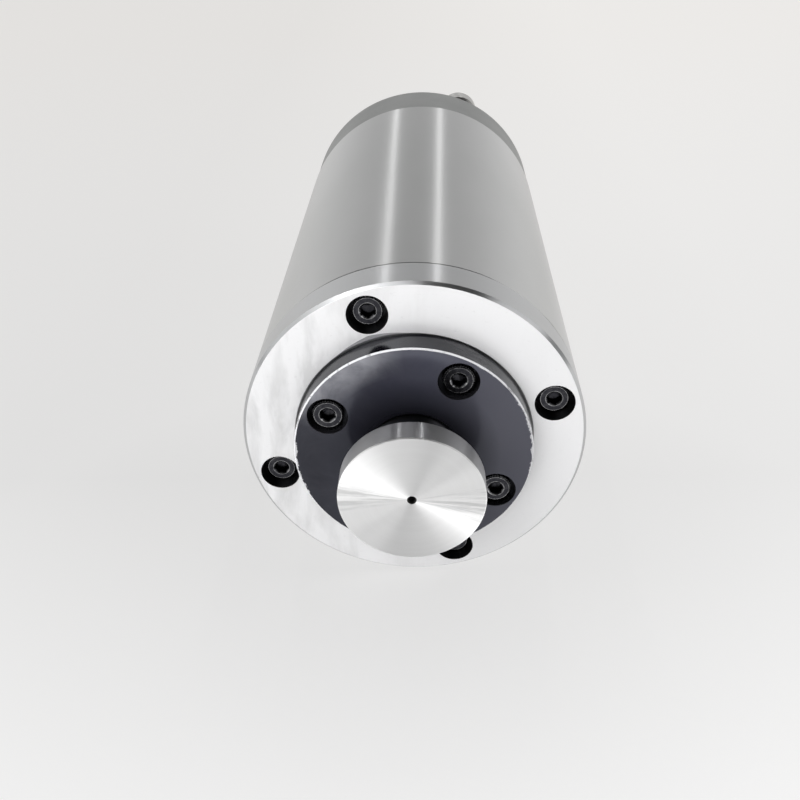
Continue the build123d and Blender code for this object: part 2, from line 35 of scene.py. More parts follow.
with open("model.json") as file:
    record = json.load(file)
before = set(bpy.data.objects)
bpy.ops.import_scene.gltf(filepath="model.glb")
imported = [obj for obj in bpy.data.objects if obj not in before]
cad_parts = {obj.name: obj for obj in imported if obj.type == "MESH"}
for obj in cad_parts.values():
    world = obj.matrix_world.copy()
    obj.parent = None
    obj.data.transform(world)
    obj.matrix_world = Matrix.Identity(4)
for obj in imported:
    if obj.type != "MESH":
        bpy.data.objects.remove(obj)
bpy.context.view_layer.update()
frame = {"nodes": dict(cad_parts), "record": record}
nodes = frame["nodes"]

MM = 0.001

# --- places taken from the frame --------------------------------------------------
body_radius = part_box("outer_barrel")[1].x
gland_low, gland_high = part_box("front_gland")
shell_low, shell_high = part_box("connector_shell")
gland_radius = gland_high.x
cap_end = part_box("rear_cap")[1].y
floor_height = -body_radius

# --- camera -----------------------------------------------------------------------
camera_place = Vector((0.006334, -0.182836, 0.123201))
camera_right = Vector((0.99902, 0.03124, -0.03131))
camera_up = Vector((0.01028, 0.52448, 0.85136))
camera_lens = 42.42            # mm, on a sensor 36 mm wide
sensor_width = 36.0
clip_near, clip_far = 0.01, 50.0

# --- room, as light and reflections see it ----------------------------------------
room_greys = (                 # sine of the height above the horizon, and brightness there
    (0.0, 0.80), (0.12, 0.86), (0.32, 0.95), (0.42, 0.75), (0.52, 0.36), (0.8, 0.22), (1.0, 0.25),
)
bright_from, dark_from = 0.45, -0.35   # a direction's Y where the room is bright, and dark
dark_share = 0.15              # how bright the dark side is, as a share of the bright one
backdrop_grey = 0.83           # the plain room that the camera sees

# --- floor ------------------------------------------------------------------------
floor_reach = 6.0
# The sheet's glow is the sum of four, each a place from and to, and the glow at the two.
glow_forward = (0.04, -0.1, 0.66, 0.85)        # along Y, from the front cover to before the nose
glow_rightward = (-0.12, 0.12, -0.025, 0.045)  # along X
glow_near_nose = (0.03, 0.13, -0.085, 0.0)     # by distance from under the nose, a painted shadow round the part
glow_far_ahead = (-0.2, -0.6, 0.0, -0.25)      # along Y
under_nose = -0.03             # Y of that place under the nose
warm_from, warm_to = -0.1, 0.7         # Y between which the glow turns warmer

# --- lamps ------------------------------------------------------------------------
room_lamps = (                 # name, middle, width and height, power; they face the frame's origin
    ("window", (1.7, -0.8, 1.1), (1.2, 1.2), 5.0),
    ("doorway", (-1.9, -0.6, 0.8), (1.4, 1.5), 5.0),
)
tube_width = 0.05
tube_rows = (                  # a point of each row of ceiling tubes, and the step along it
    ("left", Vector((-0.257, 2.079, 0.477)), Vector((-0.072, -0.266, 0.339))),
    ("right", Vector((0.187, 2.077, 0.505)), Vector((0.055, -0.260, 0.336))),
)
tube_spans = (                 # name of each lit span, its first and last step along a row, and power
    ("far", 0, 2, 0.25),
    ("near", 3, 6, 1.6),
)
cover_fill = ("cover_fill", (-0.12, -0.22, 0.2), (0.25, 0.25), 0.8)
lit_by_cover_fill = ("front_cover", "front_gland")
floor_panels = (               # name, middle, size, brightness against the room's 1.0, nodes lit
    ("front", (-0.145, -0.24), (0.31, 0.3), 1.3, ("shaft", "front_gland")),
    ("left", (-0.10, -0.09), (0.11, 0.08), 1.1, ("shaft",)),
    ("right", (0.05, -0.036), (0.06, 0.03), 1.2, ("shaft",)),
)
panel_lift = 1.0 * MM          # a panel's height above the floor

# --- M4 socket head cap screws ----------------------------------------------------
screw_sides = 144
screw_radius = 2.0 * MM
screw_pitch = 0.7 * MM
thread_depth = 0.35 * MM
head_radius = 3.5 * MM
head_height = 4.0 * MM
head_chamfer = 0.35 * MM
knurl_depth = 0.12 * MM
knurl_teeth = 36
knurl_land = 0.35 * MM         # plain band below the knurl
knurl_start = 0.02 * MM        # below the chamfer
socket_width = 3.0 * MM
socket_depth = 2.2 * MM
socket_mouth_radius = 1.95 * MM
socket_mouth_depth = 0.35 * MM
socket_floor_share = 0.8       # the flat floor's width as a share of the socket's
socket_point_depth = 0.4 * MM  # the drill's point below that floor
socket_point_radius = 0.15 * MM
edge_band = 0.14 * MM          # width of the lightened band beside an edge, partly wearing and partly painted highlight
glint_wear_rings = {4: 1.0, 7: 1.0, 8: 0.5, 9: 0.3}   # screw_mesh's rings on an edge, and how much they are lightened
clock_step = 0.9               # radians by which each socket is turned from the one before

# --- connector, M16 x 1 -----------------------------------------------------------
connector_sides = 96
connector_radius = 8.0 * MM
connector_bore = 6.6 * MM
connector_bevel = 0.3 * MM
connector_flange = 2.0 * MM
connector_flange_radius = 9.5 * MM
flange_front_bevel = 0.2 * MM
connector_pitch = 1.0 * MM
connector_thread_depth = 0.5 * MM
connector_relief = 1.0 * MM    # plain band between the flange and the thread
connector_plain_end = 0.5 * MM
connector_thread_end = 0.6 * MM
rings_per_turn = 6

# --- meshes -----------------------------------------------------------------------
weld_distance = 1e-6
sharp_angle = 0.6              # radians; an edge that turns more than this stays sharp


# --- screws, found in the CAD meshes ----------------------------------------------
def islands(node):
    """The separate solids of a CAD node, each as (lowest corner, highest corner)."""
    shape = bmesh.new()
    shape.from_mesh(nodes[node].data)
    bmesh.ops.remove_doubles(shape, verts=shape.verts, dist=weld_distance)
    left = set(shape.verts)
    boxes = []
    while left:
        front = [left.pop()]
        found = list(front)
        while front:
            for edge in front.pop().link_edges:
                for vert in edge.verts:
                    if vert in left:
                        left.discard(vert)
                        front.append(vert)
                        found.append(vert)
        low = Vector(min(v.co[axis] for v in found) for axis in range(3))
        high = Vector(max(v.co[axis] for v in found) for axis in range(3))
        boxes.append((low, high))
    shape.free()
    return sorted(boxes, key=lambda box: atan2(box[0].z + box[1].z, box[0].x + box[1].x))


def screw_circle(node):
    """Count, pitch radius and first clock angle of screws spaced evenly round the shaft."""
    screws = islands(node)
    low, high = screws[0]
    middle = (low + high) / 2
    return {
        "count": len(screws),
        "pitch_radius": hypot(middle.x, middle.z),
        "clock": atan2(middle.z, middle.x),
    }


# --- where a finish changes on its piece ------------------------------------------
# Clock angles are radians round the shaft, from +X towards +Z.
cover_circle = screw_circle("cover_screws")
gland_circle = screw_circle("gland_screws")
edge_fade = 0.05 * MM          # width of the change from one finish to the next
bore_reach = 4.75 * MM         # just outside a counterbore's wall
bore_fade = 0.1 * MM
cover_edge = (0.02 * MM, 0.06 * MM)    # Y where the cover's face ends and its side begins
cover_clean, cover_dirty = 8.0 * MM, -26.0 * MM    # X between which the smears get stronger
root_band_clock = 1.9                # middle of the grey band round the gland's root
root_band_half_angle = 0.33
root_band_width, root_band_end_width = 1.4 * MM, 0.35 * MM
gland_edge = 0.4 * MM          # the gland's front chamfer
chamfer_start = (0.01 * MM, 0.05 * MM)     # depths over which the face turns into that chamfer
outer_chamfer = (20.0 * MM, 21.0 * MM)     # radii that part the neck's chamfer from the outer one
gland_left, gland_middle, gland_right = -22.0 * MM, 4.0 * MM, 20.0 * MM     # X on its face
neck_shade = (11.0 * MM, 20.0 * MM)    # radii over which the painted shade round the neck fades
sheen_clock = 2.23              # middle of the painted sheen, a painted reflection, on the gland's face
sheen_angles = (0.25, 0.6)      # angles from that middle over which it fades
sheen_inner, sheen_outer = 7.0 * MM, 0.8 * MM        # depths in from the rim over which it grows
chip_width = 1.5 * MM          # chips lie this near to the gland's edge
chip_tilt = 0.15               # angle of the line through the shaft where chips are most
stain_span = (3.0 * MM, 15.0 * MM)     # X over which the stain on the gland's wall grows
nose_edge = (15.94 * MM, 15.98 * MM)       # radii over which the disc's face turns into its rim
nose_back = -17.2 * MM         # Y where the nose disc ends and the neck begins
feather_tilt = -0.12           # angle of the line through the shaft where streaks are most: the line along which the light fans
drill_radius = 1.0 * MM
drill_tip = (0.3 * MM, 0.45 * MM)      # radii over which the hole turns from its white spot to its painted shade
neck_shade_radius, neck_lit_radius = 10.2 * MM, 12.0 * MM       # radii on the neck between which its painted shade gives way to grey
half_sheet = 0.25 * MM         # half the thickness of a lamination
noise_span = (0.3, 0.7)        # a noise's values mostly lie between these two
bevel_samples = 4
quarter_turn = 0.25            # of a full turn


# --- node materials ---------------------------------------------------------------
class Wiring:
    """Short calls that add nodes to a tree and link them."""

    def __init__(self, tree):
        """Takes the tree of a material or of the world."""
        self.nodes = tree.nodes
        self.links = tree.links

    def add(self, kind):
        """A new node."""
        return self.nodes.new(f"ShaderNode{kind}")

    def feed(self, socket, source):
        """A number, a colour or another node's output into an input socket."""
        if hasattr(source, "links"):
            self.links.new(source, socket)
        else:
            socket.default_value = source

    def math(self, operation, *values):
        """One sum on one or more values."""
        node = self.add("Math")
        node.operation = operation
        for socket, value in zip(node.inputs, values):
            self.feed(socket, value)
        return node.outputs[0]

    def plus(self, first, second):
        """The sum of two values."""
        return self.math("ADD", first, second)

    def minus(self, first, second):
        """The first value less the second."""
        return self.math("SUBTRACT", first, second)

    def times(self, first, second):
        """The product of two values."""
        return self.math("MULTIPLY", first, second)

    def apart(self, first, second):
        """How far two values lie from each other."""
        return self.math("ABSOLUTE", self.minus(first, second))

    def length(self, across, aside):
        """The length of a vector with these two sides."""
        squares = self.plus(self.times(across, across), self.times(aside, aside))
        return self.math("SQRT", squares)

    def split(self, vector):
        """A vector's X, Y and Z."""
        node = self.add("SeparateXYZ")
        self.feed(node.inputs[0], vector)
        return node.outputs

    def vector(self, x, y, z=0.0):
        """A vector from three values."""
        node = self.add("CombineXYZ")
        for socket, source in zip(node.inputs, (x, y, z)):
            self.feed(socket, source)
        return node.outputs[0]

    def noise(self, vector, scale, detail=3.0, rough=0.5, distortion=0.0):
        """Cloudy noise at a place; scale is in bumps per metre."""
        node = self.add("TexNoise")
        self.feed(node.inputs["Vector"], vector)
        node.inputs["Scale"].default_value = scale
        node.inputs["Detail"].default_value = detail
        node.inputs["Roughness"].default_value = rough
        node.inputs["Distortion"].default_value = distortion
        return node.outputs["Fac"]

    def spread(self, source, low, high, to_low=0.0, to_high=1.0):
        """The span from low to high stretched to another span, and held at its ends."""
        node = self.add("MapRange")
        self.feed(node.inputs["Value"], source)
        ends = zip(("From Min", "From Max", "To Min", "To Max"), (low, high, to_low, to_high))
        for socket, value in ends:
            node.inputs[socket].default_value = value
        return node.outputs["Result"]

    def between(self, share, first, second):
        """A number that is first where share is 0 and second where it is 1."""
        return self.spread(share, 0.0, 1.0, first, second)

    def graded(self, noise, to_low=0.0, to_high=1.0):
        """A noise stretched to another span."""
        return self.spread(noise, *noise_span, to_low, to_high)

    def blend(self, share, first, second):
        """A mix of two colours, which is all second where share is 1."""
        node = self.add("Mix")
        node.data_type = "RGBA"
        self.feed(node.inputs["Factor"], share)
        for socket, colour in ((node.inputs[6], first), (node.inputs[7], second)):
            self.feed(socket, (*colour, 1) if isinstance(colour, tuple) else colour)
        return node.outputs[2]


class Finish(Wiring):
    """One material: a Principled shader, and the places that its looks follow.

    y is the place along the shaft's axis, radius the distance from it and clock the angle round it.
    """

    def __init__(self, name, colour, metallic, roughness, **constants):
        """Starts from plain values, which the nodes then take over."""
        self.material = bpy.data.materials.new(name)
        self.material.use_nodes = True
        super().__init__(self.material.node_tree)
        self.inputs = self.nodes["Principled BSDF"].inputs
        self.inputs["Base Color"].default_value = (*colour, 1)
        self.inputs["Metallic"].default_value = metallic
        self.inputs["Roughness"].default_value = roughness
        for socket, value in constants.items():
            self.inputs[socket.replace("_", " ")].default_value = value
        self.place = self.add("TexCoord").outputs["Object"]
        self.x, self.y, self.z = self.split(self.place)
        self.radius = self.length(self.x, self.z)
        self.clock = self.math("ARCTAN2", self.z, self.x)

    def stretched(self, *scale):
        """The place scaled by three factors, so that a noise on it is drawn out."""
        node = self.add("VectorMath")
        node.operation = "MULTIPLY"
        self.feed(node.inputs[0], self.place)
        node.inputs[1].default_value = scale
        return node.outputs["Vector"]

    def off_line(self, tilt):
        """0 along a line through the shaft's axis, tilted from level, and 1 square to it."""
        return self.math("ABSOLUTE", self.math("SINE", self.minus(self.clock, tilt)))

    def in_counterbore(self, circle):
        """1 beside a screw's axis and 0 elsewhere, for screws spaced evenly on a circle."""
        half_step = pi / circle["count"]
        folded = self.math("WRAP", self.minus(self.clock, circle["clock"]), half_step, -half_step)
        outward = self.times(self.radius, self.math("COSINE", folded))
        aside = self.times(self.radius, self.math("SINE", folded))
        from_screw = self.length(self.minus(outward, circle["pitch_radius"]), aside)
        return self.spread(from_screw, bore_reach, bore_reach + bore_fade, 1.0, 0.0)

    def turning(self, lines_per_mm, waver=0.3):
        """Fine rings left by turning: they follow the radius on faces and Y on round walls."""
        rings = self.vector(self.radius, self.y, self.times(self.clock, waver * MM))
        return self.noise(rings, lines_per_mm / MM, detail=2.0, rough=0.6)

    def bevel(self, radius):
        """A normal that rounds sharp edges."""
        node = self.add("Bevel")
        node.samples = bevel_samples
        node.inputs["Radius"].default_value = radius
        return node.outputs["Normal"]

    def bump(self, height, depth, softened=None):
        """Raises the surface by depth metres where height is 1; softened rounds sharp edges."""
        node = self.add("Bump")
        node.inputs["Strength"].default_value = 1.0
        node.inputs["Distance"].default_value = depth
        self.feed(node.inputs["Height"], height)
        if softened:
            self.feed(node.inputs["Normal"], self.bevel(softened))
        self.feed(self.inputs["Normal"], node.outputs["Normal"])

    def grooves_round_shaft(self, strength):
        """Stretches highlights across turning lines, as fine grooves round the shaft do."""
        tangent = self.add("Tangent")
        tangent.direction_type = "RADIAL"
        tangent.axis = "Y"
        self.feed(self.inputs["Tangent"], tangent.outputs[0])
        self.feed(self.inputs["Anisotropic"], strength)
        self.inputs["Anisotropic Rotation"].default_value = quarter_turn

    def colour(self, source):
        """Base colour."""
        self.feed(self.inputs["Base Color"], source)

    def metallic(self, source):
        """How far the surface is bare metal."""
        self.feed(self.inputs["Metallic"], source)

    def roughness(self, source):
        """Roughness of the reflection."""
        self.feed(self.inputs["Roughness"], source)

    def follow(self, grain, colours, roughness, depth, softened=None):
        """Colour, roughness and relief that all follow one grain."""
        self.colour(self.blend(self.graded(grain), *colours))
        self.roughness(self.graded(grain, *roughness))
        self.bump(grain, depth, softened)
        return self.material


def bright_aluminium():
    """Front cover: a near white face with soft smears, satin ground sides, and counterbore walls
    painted black as painted shade.
    """
    white, smeared, scuffed = (0.97, 0.97, 0.98), (0.79, 0.79, 0.795), (0.70, 0.70, 0.71)
    root_band_grey, bore_black_and_shade = (0.42, 0.42, 0.44), (0.06, 0.06, 0.064)
    side_dark, side_light = (0.55, 0.555, 0.56), (0.57, 0.575, 0.58)
    look = Finish("bright_aluminium", (0.93, 0.93, 0.94), 0.6, 0.42)
    off_face = look.spread(look.y, *cover_edge)
    on_face = look.spread(look.y, *cover_edge, 1.0, 0.0)

    smear = look.noise(look.stretched(1.0, 1.0, 0.3), 120.0, detail=5.0, rough=0.6, distortion=0.4)
    scuff = look.noise(look.stretched(0.5, 1.0, 1.0), 900.0, detail=4.0, rough=0.7)
    dirtier = look.spread(look.x, cover_clean, cover_dirty, 0.12, 1.0)
    face = look.blend(look.times(dirtier, look.spread(smear, 0.46, 0.62)), white, smeared)
    face = look.blend(look.spread(scuff, 0.6, 0.74, 0.0, 0.35), face, scuffed)
    root_band_ends = (gland_radius + root_band_width, gland_radius + root_band_end_width)
    root_band_radius = look.spread(look.apart(look.clock, root_band_clock), 0.0, root_band_half_angle, *root_band_ends)
    face = look.blend(look.math("LESS_THAN", look.radius, root_band_radius), face, root_band_grey)

    side = look.blend(look.graded(look.turning(6.0)), side_dark, side_light)
    # Counterbore walls painted black: painted shade in the narrow bores.
    bored = look.times(off_face, look.in_counterbore(cover_circle))
    look.colour(look.blend(bored, look.blend(off_face, face, side), bore_black_and_shade))
    look.metallic(look.between(off_face, 0.38, 1.0))
    look.roughness(look.plus(look.times(on_face, look.graded(smear, 0.16, 0.1)), 0.28))
    look.bump(look.times(scuff, on_face), 0.002 * MM, softened=0.08 * MM)
    look.grooves_round_shaft(look.times(off_face, 0.9))
    return look.material


def ground_steel():
    """Barrel: centreless ground to a smooth satin, faintly stained."""
    look = Finish("ground_steel", (0.6, 0.6, 0.6), 1.0, 0.3)
    lines = look.turning(8.0)
    stain = look.noise(look.stretched(1.0, 0.3, 1.0), 30.0, detail=4.0, rough=0.55)
    look.colour(look.blend(look.spread(stain, 0.35, 0.65), (0.595, 0.60, 0.595), (0.64, 0.64, 0.64)))
    look.roughness(look.graded(lines, 0.285, 0.315))
    look.bump(lines, 0.0001 * MM, softened=0.06 * MM)
    look.grooves_round_shaft(0.9)
    return look.material


def dull_aluminium():
    """Rear cap: flat grey, finely blasted."""
    look = Finish("dull_aluminium", (0.36, 0.365, 0.36), 0.8, 0.5)
    grit = look.noise(look.place, 5200.0, detail=2.0)
    cloud = look.noise(look.place, 70.0, detail=4.0)
    look.colour(look.blend(look.spread(cloud, 0.35, 0.65), (0.35, 0.355, 0.35), (0.39, 0.395, 0.39)))
    look.roughness(look.graded(grit, 0.44, 0.56))
    look.bump(grit, 0.002 * MM, softened=0.12 * MM)
    return look.material


def gland_painted_face(look, smear):
    """The gland's face: a black coat with smears, on which a painted reflection makes it greyer to
    the right and painted shade makes it near black round the neck.
    """
    left_black, middle_black = (0.012, 0.012, 0.017), (0.050, 0.051, 0.070)
    right_grey, smeared = (0.074, 0.074, 0.092), (0.085, 0.085, 0.10)
    painted_shade_round_neck = (0.004, 0.004, 0.006)
    # Painted reflection: greyer from left to right.
    film = look.blend(look.spread(look.x, gland_left, gland_middle), left_black, middle_black)
    film = look.blend(look.spread(look.x, gland_middle, gland_right), film, right_grey)
    film = look.blend(look.spread(smear, 0.35, 0.7, 0.0, 0.25), film, smeared)
    # Painted shade and dark reflection round the neck.
    near_neck = look.spread(look.radius, *neck_shade, 0.92, 0.0)
    return look.blend(near_neck, film, painted_shade_round_neck)


def gland_painted_sheen(look, smear):
    """Where a pale sheen is painted on the gland's face at its upper left: a painted reflection of
    the pale floor.
    """
    near_clock = look.spread(look.apart(look.clock, sheen_clock), *sheen_angles, 1.0, 0.0)
    patchy = look.times(near_clock, look.spread(smear, 0.35, 0.6, 0.25, 1.0))
    outer = look.spread(look.radius, gland_radius - sheen_inner, gland_radius - sheen_outer)
    return look.times(patchy, outer)


def gland_chips(look, blotch):
    """Where the coat is chipped beside the gland's edge, most at its left and right."""
    edge_radius = gland_radius - gland_edge
    beside_edge = look.spread(look.radius, edge_radius - chip_width, edge_radius)
    sideways = look.spread(look.off_line(chip_tilt), 0.15, 0.45, 1.0, 0.7)
    grain = look.noise(look.place, 1400.0, detail=3.0, rough=0.6)
    uneven = look.plus(blotch, look.graded(grain, -0.1, 0.1))
    return look.spread(look.times(look.times(beside_edge, sideways), uneven), 0.40, 0.47, 0.0, 0.9)


def gland_chamfer(look, blotch):
    """The gland's front chamfer, scuffed bright and painted brighter as its highlight; the one round
    the neck stays black.
    """
    # Partly scuffing, partly a painted highlight on the chamfer.
    wear_and_glint = look.blend(look.spread(blotch, 0.36, 0.46), (0.36, 0.36, 0.37), (0.82, 0.82, 0.84))
    outer = look.spread(look.radius, *outer_chamfer)
    return look.blend(outer, (0.01, 0.01, 0.012), wear_and_glint)


def gland_wall(look):
    """The gland's round wall: black, with a pale stain in streaks on its right."""
    across_streaks = look.vector(look.times(look.clock, 5.0 * MM), look.y)
    streaks = look.noise(across_streaks, 480.0, detail=4.0, rough=0.6, distortion=0.3)
    stain = look.times(look.spread(look.x, *stain_span), look.spread(streaks, 0.4, 0.64))
    return look.blend(stain, (0.002, 0.002, 0.004), (0.085, 0.085, 0.09))


def black_oxide():
    """Gland: a blue-black coat with painted reflections (greyer to the right, a pale sheen at its
    upper left, dark round the neck), scuffed at its front edge where a painted highlight brightens
    the chamfer, stained on a side.
    """
    painted_sheen_grey, chip_bright, bore_black_and_shade = (0.24, 0.24, 0.26), (0.62, 0.62, 0.64), (0.012, 0.012, 0.014)
    look = Finish(
        "black_oxide", (0.04, 0.041, 0.05), 0.0, 0.16,
        Specular_IOR_Level=0.38, Specular_Tint=(0.85, 0.88, 1.0, 1),
    )
    smear = look.noise(look.place, 75.0, detail=5.0, rough=0.6, distortion=0.5)
    blotch = look.noise(look.place, 330.0, detail=6.0, rough=0.7, distortion=0.8)
    face = look.blend(gland_painted_sheen(look, smear), gland_painted_face(look, smear), painted_sheen_grey)
    face = look.blend(gland_chips(look, blotch), face, chip_bright)

    back_from_face = look.minus(look.y, gland_low.y)
    on_wall = look.spread(back_from_face, gland_edge - edge_fade, gland_edge)
    on_edge = look.spread(back_from_face, *chamfer_start)
    coat = look.blend(on_edge, face, gland_chamfer(look, blotch))
    coat = look.blend(on_wall, coat, gland_wall(look))
    # The gland's counterbores take the coat's own black, without its painted reflections.
    bored = look.times(look.in_counterbore(gland_circle), on_edge)
    look.colour(look.blend(bored, coat, bore_black_and_shade))
    only_edge = look.times(on_edge, look.between(on_wall, 1.0, 0.0))
    look.roughness(look.plus(look.graded(smear, 0.12, 0.2), look.times(only_edge, 0.35)))
    look.bump(look.turning(4.0), 0.0003 * MM, softened=0.1 * MM)
    return look.material


def turned_steel():
    """Shaft: a disc faced bright, whose rings fan the light, on a neck painted dark as painted shade
    between the disc and the gland.
    """
    streak_grey, wall_grey, painted_hole_shade = (0.5, 0.5, 0.5), (0.44, 0.44, 0.45), (0.02, 0.02, 0.02)
    white, near_white = (1.0, 1.0, 1.0), (0.97, 0.97, 0.97)
    painted_neck_shade, neck_grey = (0.10, 0.10, 0.11), (0.5, 0.5, 0.51)
    drill_edge = (drill_radius, drill_radius + edge_fade)
    look = Finish("turned_steel", (0.88, 0.88, 0.88), 1.0, 0.42)

    along_ray = look.vector(look.times(look.clock, 9.0), look.times(look.radius, 40.0))
    feather = look.noise(along_ray, 1.0, detail=4.0, rough=0.7)
    sideways = look.spread(look.off_line(feather_tilt), 0.1, 0.42, 0.6, 0.0)
    face = look.blend(look.graded(look.turning(0.9)), near_white, white)
    # Grey streaks only along the light's fan: partly turning marks, partly painted streaks in that
    # highlight.
    face = look.blend(look.times(sideways, look.spread(feather, 0.45, 0.6)), face, streak_grey)
    on_wall = look.spread(look.radius, *nose_edge)
    face = look.blend(on_wall, face, wall_grey)
    # Painted shade in the centre hole, with a white, non-metallic spot at its bottom painted for the
    # light seen there.
    hole = look.blend(look.spread(look.radius, *drill_tip), white, painted_hole_shade)
    face = look.blend(look.spread(look.radius, *drill_edge, 1.0, 0.0), face, hole)

    # Painted shade and dark reflection on the thin neck behind the disc.
    neck = look.blend(look.spread(look.radius, neck_shade_radius, neck_lit_radius), painted_neck_shade, neck_grey)
    behind_disc = look.spread(look.y, nose_back - edge_fade, nose_back)
    look.colour(look.blend(behind_disc, face, neck))
    look.metallic(look.spread(look.radius, *drill_edge))
    look.roughness(look.between(on_wall, 0.47, 0.29))
    look.bump(look.turning(5.0), 0.00015 * MM, softened=0.05 * MM)
    look.grooves_round_shaft(1.0)
    return look.material


def screw_black():
    """Socket screws: oiled black oxide, lightened along the edges marked in the mesh, partly scuffed
    grey and partly a painted highlight.
    """
    dark, light, rubbed_glint_grey = (0.034, 0.034, 0.04), (0.07, 0.07, 0.076), (0.6, 0.6, 0.61)
    look = Finish("screw_black", (0.06, 0.06, 0.066), 1.0, 0.3)
    rub = look.noise(look.place, 900.0, detail=4.0, rough=0.65)
    marked = look.add("Attribute")
    marked.attribute_name = "glint_wear"
    edges = look.spread(marked.outputs["Fac"], 0.25, 0.9)
    # Edge colour: partly scuffing, partly a painted highlight.
    wear_and_glint = look.times(edges, look.spread(rub, 0.35, 0.55, 0.3, 1.0))
    look.colour(look.blend(wear_and_glint, look.blend(look.spread(rub, 0.45, 0.7), dark, light), rubbed_glint_grey))
    look.roughness(look.spread(rub, 0.35, 0.7, 0.2, 0.34))
    look.bump(rub, 0.01 * MM)
    return look.material


def bearing_steel():
    """Ground and polished rings, spacers and locknuts."""
    look = Finish("bearing_steel", (0.62, 0.63, 0.64), 1.0, 0.16)
    colours = (0.58, 0.59, 0.60), (0.67, 0.68, 0.69)
    return look.follow(look.turning(9.0), colours, (0.12, 0.22), 0.0006 * MM)


def jacket_aluminium():
    """Machined jacket and bearing housing, with a coarser feed than the cover."""
    look = Finish("jacket_aluminium", (0.72, 0.72, 0.73), 0.9, 0.36)
    colours = (0.66, 0.66, 0.67), (0.78, 0.78, 0.79)
    return look.follow(look.turning(2.2), colours, (0.3, 0.44), 0.004 * MM)


def lamination_steel():
    """Stacked sheet: a line at every half millimetre along the shaft."""
    look = Finish("lamination_steel", (0.3, 0.3, 0.31), 0.8, 0.45)
    sheet = look.math("PINGPONG", look.y, half_sheet)
    joint = look.spread(sheet, 0.0, 0.06 * MM)
    look.colour(look.blend(joint, (0.07, 0.07, 0.075), (0.34, 0.34, 0.35)))
    look.roughness(look.graded(look.noise(look.place, 700.0), 0.38, 0.55))
    look.bump(joint, 0.02 * MM)
    return look.material


def copper_winding():
    """Enamelled strands in varnish."""
    look = Finish("copper_winding", (0.5, 0.2, 0.07), 0.55, 0.32)
    along_strands = look.vector(look.radius, look.y, look.times(look.clock, 1.2 * MM))
    strands = look.noise(along_strands, 1500.0, detail=3.0)
    dark_red, copper = (0.26, 0.085, 0.025), (0.64, 0.28, 0.11)
    look.colour(look.blend(look.spread(strands, 0.38, 0.62), dark_red, copper))
    look.roughness(look.graded(strands, 0.26, 0.42))
    look.bump(strands, 0.09 * MM)
    return look.material


def rotor_aluminium():
    """The rotor's cast bars and end rings."""
    look = Finish("rotor_aluminium", (0.68, 0.68, 0.69), 0.85, 0.48)
    skin = look.noise(look.place, 850.0, detail=5.0, rough=0.6)
    colours = (0.58, 0.58, 0.59), (0.76, 0.76, 0.77)
    return look.follow(skin, colours, (0.4, 0.58), 0.03 * MM)


def seal_rubber():
    """Black seals and sealing washers."""
    look = Finish("seal_rubber", (0.02, 0.02, 0.02), 0.0, 0.6)
    skin = look.noise(look.place, 2400.0, detail=3.0)
    colours = (0.014, 0.014, 0.014), (0.032, 0.032, 0.033)
    return look.follow(skin, colours, (0.52, 0.7), 0.008 * MM)


def nickel_plate():
    """Fittings and connector shell: plated and dulled by handling."""
    look = Finish("nickel_plate", (0.42, 0.415, 0.4), 1.0, 0.34)
    film = look.noise(look.place, 1100.0, detail=4.0, rough=0.6)
    colours = (0.37, 0.365, 0.35), (0.47, 0.465, 0.45)
    return look.follow(film, colours, (0.28, 0.42), 0.003 * MM, softened=0.2 * MM)


def insulator_plastic():
    """The connector's moulded insert."""
    look = Finish("insulator_plastic", (0.03, 0.03, 0.033), 0.0, 0.5)
    grain = look.noise(look.place, 3000.0, detail=2.0)
    colours = (0.022, 0.022, 0.025), (0.042, 0.042, 0.046)
    return look.follow(grain, colours, (0.42, 0.6), 0.006 * MM)


def contact_brass():
    """The connector's plated pins."""
    look = Finish("contact_brass", (0.8, 0.63, 0.3), 1.0, 0.22)
    film = look.noise(look.place, 2600.0, detail=3.0)
    colours = (0.72, 0.55, 0.24), (0.86, 0.7, 0.38)
    return look.follow(film, colours, (0.17, 0.3), 0.002 * MM)


def pale_floor():
    """White sheet lit from within, as a light table is, so that shadows stay faint."""
    white, warm_white = (1.0, 1.0, 1.0), (1.0, 0.98, 0.955)
    look = Finish("pale_floor", (0.3, 0.298, 0.295), 0.0, 0.8)
    cloud = look.noise(look.place, 1.6, detail=2.0)
    look.colour(look.blend(look.graded(cloud), (0.295, 0.293, 0.29), (0.305, 0.303, 0.30)))
    tint = look.blend(look.spread(look.y, warm_from, warm_to), white, warm_white)
    look.feed(look.inputs["Emission Color"], tint)
    forward = look.spread(look.y, *glow_forward)
    rightward = look.spread(look.x, *glow_rightward)
    # Dimmer round the nose: a painted shadow in the floor's glow.
    from_nose = look.length(look.x, look.minus(look.y, under_nose))
    near_nose = look.spread(from_nose, *glow_near_nose)
    far_ahead = look.spread(look.y, *glow_far_ahead)
    glow = look.plus(look.plus(forward, rightward), look.plus(near_nose, far_ahead))
    look.feed(look.inputs["Emission Strength"], glow)
    return look.material


finishes = {
    make.__name__: make()
    for make in (
        bright_aluminium, ground_steel, dull_aluminium, black_oxide, turned_steel, screw_black,
        bearing_steel, jacket_aluminium, lamination_steel, copper_winding, rotor_aluminium,
        seal_rubber, nickel_plate, insulator_plastic, contact_brass,
    )
}


def dress_cad_nodes():
    """Gives every CAD node the finish of its own slot in the record."""
    for row in frame["record"]["subparts"]:
        slots = nodes[row["node"]].data.materials
        slots.clear()
        slots.append(finishes[row["material_slot"]])


